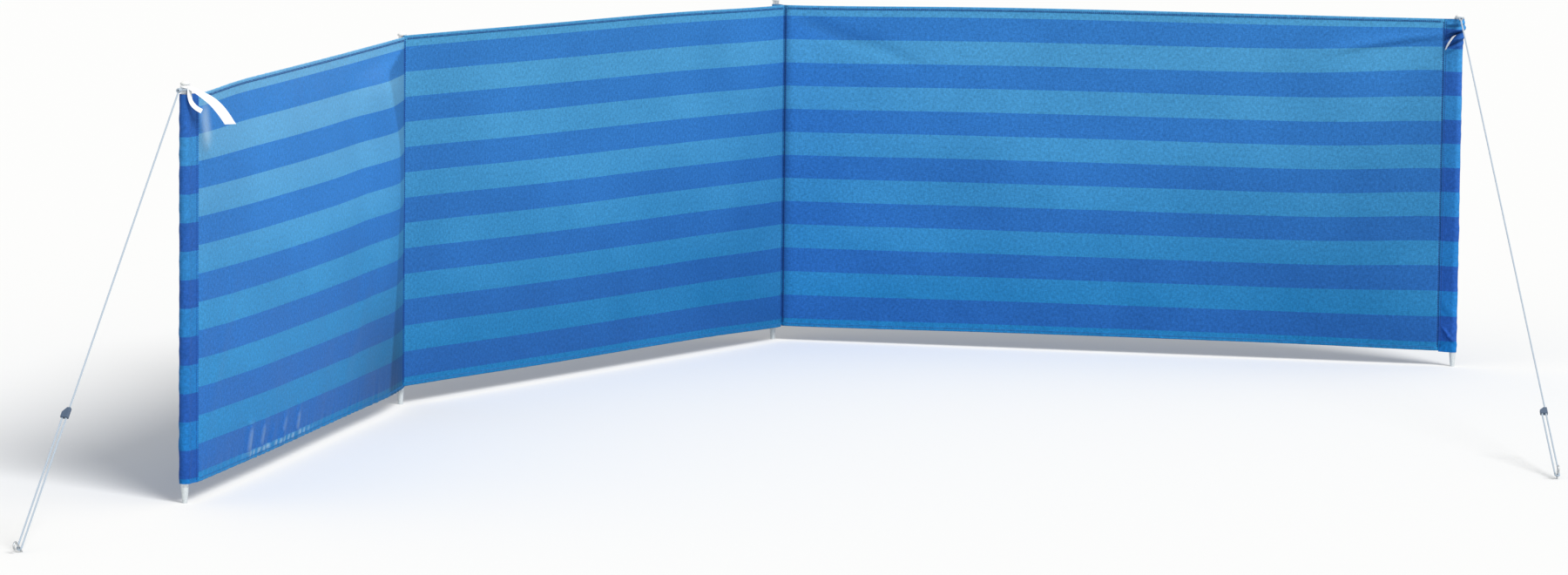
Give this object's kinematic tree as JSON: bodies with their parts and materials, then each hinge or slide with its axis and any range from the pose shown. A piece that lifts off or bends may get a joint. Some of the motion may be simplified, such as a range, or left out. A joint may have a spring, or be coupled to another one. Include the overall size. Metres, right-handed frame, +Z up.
{
  "type": "beach windbreak",
  "caption": "Beach windbreak in blue striped cloth, sewn in bays with sleeves over capped steel poles, with a guy rope, runner and peg at each end",
  "frame": {"origin": "foot of the corner pole, on the flat of its ground spike at ground level", "axes": "+Z up, +X along the right bay, -Y towards the sheltered side"},
  "size_m": [2.7165, 4.0368, 0.86],
  "materials": {
    "striped_cloth": "woven cotton blend, plain weave, two blues in level stripes",
    "white_tape": "white woven cotton tape",
    "rope": "white braided cord",
    "pole_steel": "galvanised steel tube",
    "spike_steel": "turned steel, dull from the ground",
    "cap_plastic": "moulded white plastic",
    "runner_plastic": "moulded blue-grey plastic",
    "peg_steel": "bent galvanised wire"
  },
  "bodies": {
    "root": {"bottom_hem_left_bay": "striped_cloth", "bottom_hem_middle_bay": "striped_cloth", "bottom_hem_right_bay": "striped_cloth", "cloth_left_bay": "striped_cloth", "cloth_middle_bay": "striped_cloth", "cloth_right_bay": "striped_cloth", "ground_peg_left": "peg_steel", "ground_peg_right": "peg_steel", "ground_spike_corner": "spike_steel", "ground_spike_left_end": "spike_steel", "ground_spike_left_inner": "spike_steel", "ground_spike_right_end": "spike_steel", "guy_rope_left": "rope", "guy_rope_right": "rope", "guy_runner_left": "runner_plastic", "guy_runner_right": "runner_plastic", "pole_cap_corner": "cap_plastic", "pole_cap_left_end": "cap_plastic", "pole_cap_left_inner": "cap_plastic", "pole_cap_right_end": "cap_plastic", "pole_corner": "pole_steel", "pole_left_end": "pole_steel", "pole_left_inner": "pole_steel", "pole_right_end": "pole_steel", "sleeve_corner": "striped_cloth", "sleeve_left_end": "striped_cloth", "sleeve_left_inner": "striped_cloth", "sleeve_right_end": "striped_cloth", "tie_knot_left": "white_tape", "tie_tail_left_long": "white_tape", "tie_tail_left_short": "white_tape", "tie_tail_right": "white_tape", "top_hem_left_bay": "striped_cloth", "top_hem_middle_bay": "striped_cloth", "top_hem_right_bay": "striped_cloth"}
  },
  "joints": []
}
